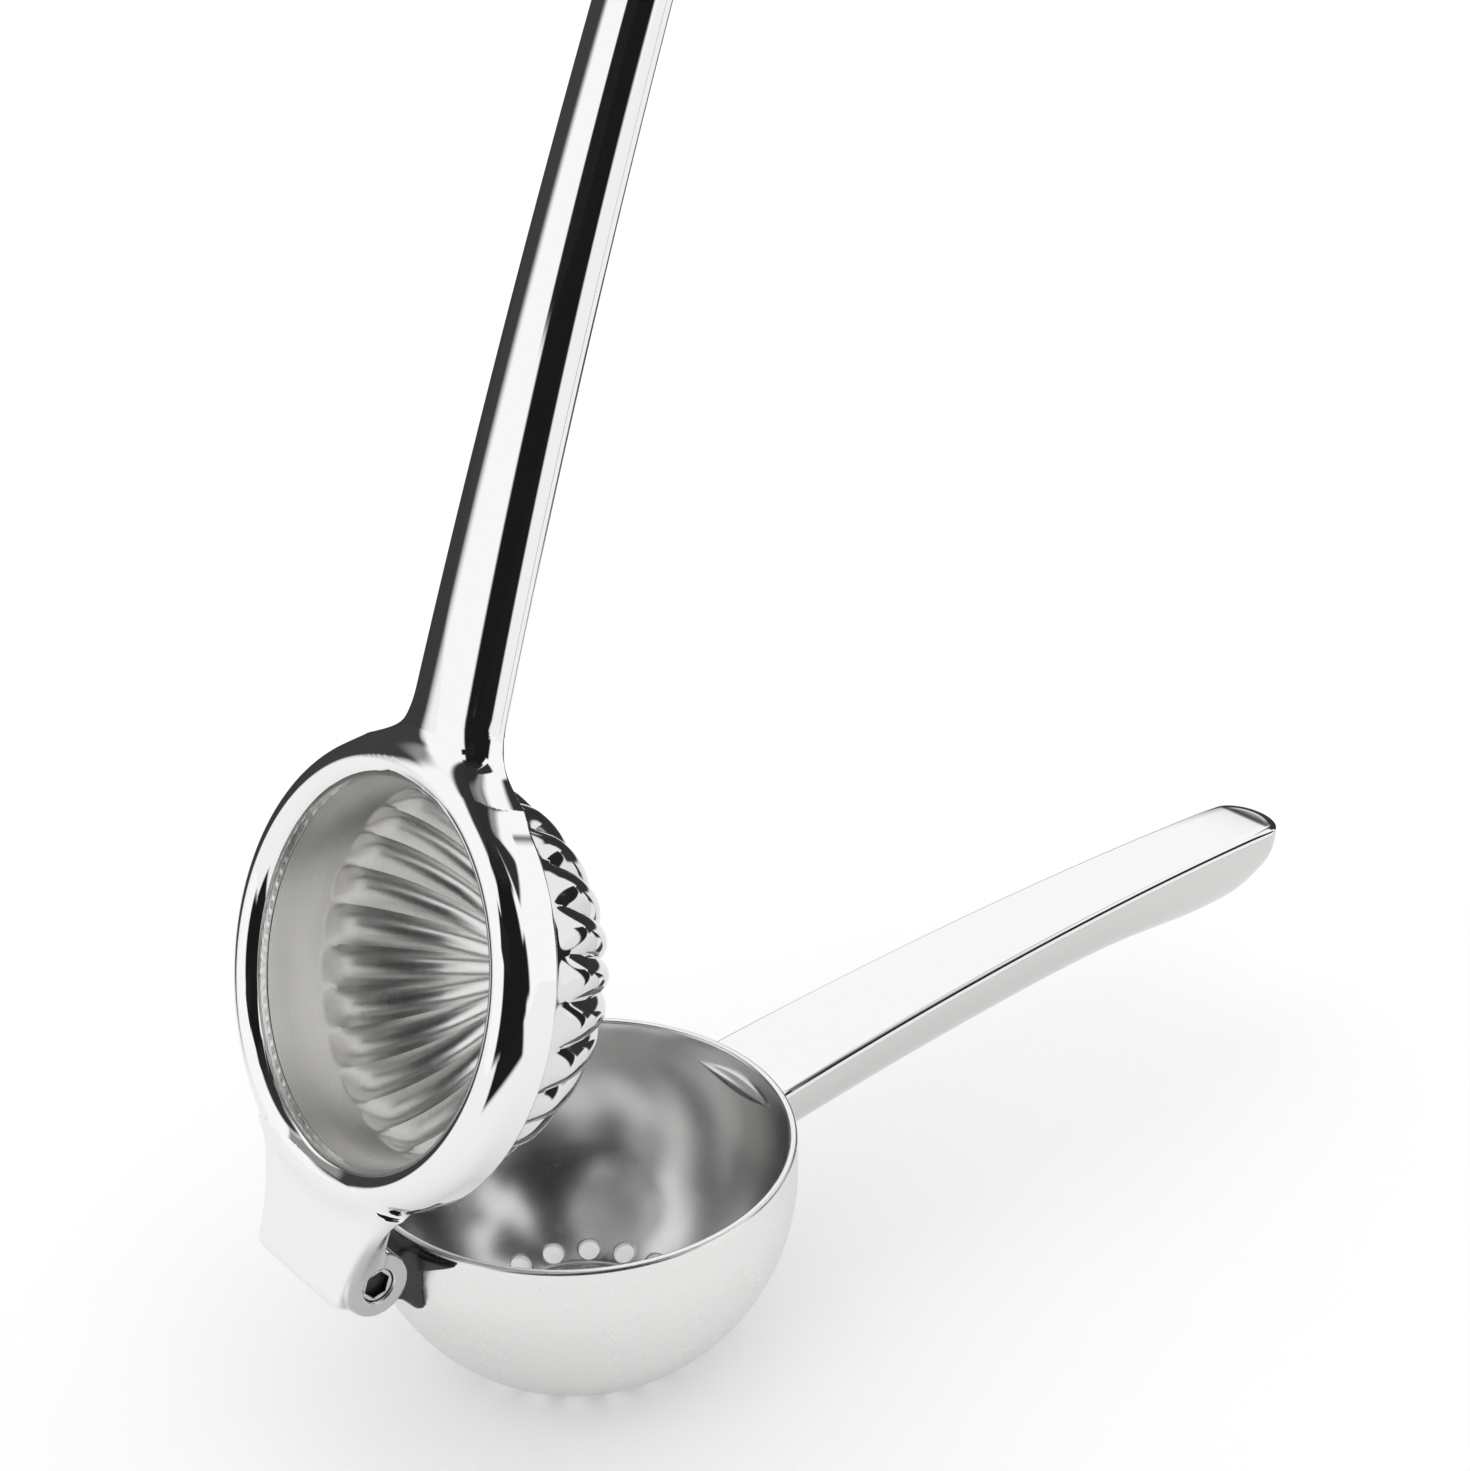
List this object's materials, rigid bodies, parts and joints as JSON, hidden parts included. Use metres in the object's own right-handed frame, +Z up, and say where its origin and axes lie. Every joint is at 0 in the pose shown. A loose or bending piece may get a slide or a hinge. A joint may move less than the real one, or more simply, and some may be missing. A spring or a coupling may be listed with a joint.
{
  "type": "hinged lemon squeezer",
  "caption": "Hinged lemon squeezer in polished steel: deep round bowl, fluted press cup in a cast ring, and long hollow handles that fold together.",
  "frame": {"origin": "centre of the bowl's flat foot, on the surface it stands on", "axes": "+X along the bowl's handle, away from the hinge; +Y along the hinge pin, towards the screw side; +Z up, out of the bowl's mouth"},
  "size_m": [0.2355, 0.076, 0.2544],
  "materials": {
    "bowl_steel": "satin stainless steel",
    "cast_steel": "mirror-polished stainless steel",
    "handle_steel": "mirror-polished stainless steel",
    "cup_steel": "stainless steel, satin inside and polished outside",
    "pin_steel": "turned steel",
    "washer_nylon": "plain nylon"
  },
  "bodies": {
    "bowl_arm": {"bowl_cup": "bowl_steel", "bowl_lug": "cast_steel", "bowl_handle_shell": "handle_steel", "bowl_handle_plate": "handle_steel"},
    "press_arm": {"press_frame": "cast_steel", "press_cup": "cup_steel", "press_handle_shell": "handle_steel", "press_handle_plate": "handle_steel", "pivot_barrel": "pin_steel", "pivot_screw": "pin_steel", "thrust_washers": "washer_nylon"}
  },
  "joints": [
    {"name": "press_hinge", "type": "hinge", "parent": "bowl_arm", "child": "press_arm", "pos_m": [-0.0479, 0, 0.0407], "axis": [0, -1, 0], "range_deg": [-68.9, 36]}
  ]
}
